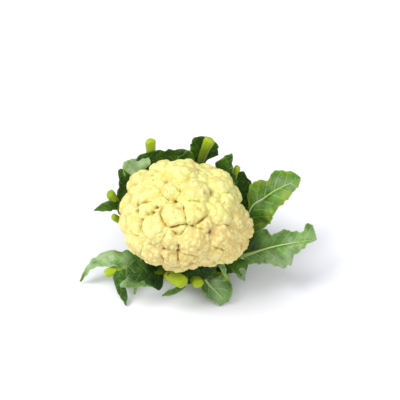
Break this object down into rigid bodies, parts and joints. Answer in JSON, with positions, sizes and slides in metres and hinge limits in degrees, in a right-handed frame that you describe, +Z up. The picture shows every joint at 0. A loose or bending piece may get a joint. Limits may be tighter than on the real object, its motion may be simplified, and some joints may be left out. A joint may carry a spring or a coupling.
{
  "type": "cauliflower",
  "caption": "Trimmed cauliflower: a rounded head of pale florets on a short cut stalk, ringed by green leaves, some whole and some cut back to their midribs.",
  "frame": {"origin": "centre of the stalk's cut face, which the head stands on", "axes": "+Z up through the head, -Y to the front, +X to the right, where the longest leaf points"},
  "size_m": [0.2902, 0.1674, 0.1569],
  "materials": {
    "curd": "dull, finely grained, creamy yellow white",
    "stalk": "smooth, slightly waxy, pale green",
    "leaf": "waxy green blade with pale veins and a yellow green midrib"
  },
  "bodies": {
    "root": {"curd": "curd", "stalk": "stalk", "leaf_01": "leaf", "leaf_02": "leaf", "leaf_03": "leaf", "leaf_04": "leaf", "leaf_05": "leaf", "leaf_06": "leaf", "leaf_07": "leaf", "leaf_08": "leaf", "leaf_09": "leaf", "leaf_10": "leaf", "leaf_11": "leaf", "leaf_12": "leaf", "leaf_13": "leaf", "leaf_14": "leaf", "leaf_15": "leaf", "leaf_16": "leaf"}
  },
  "joints": []
}
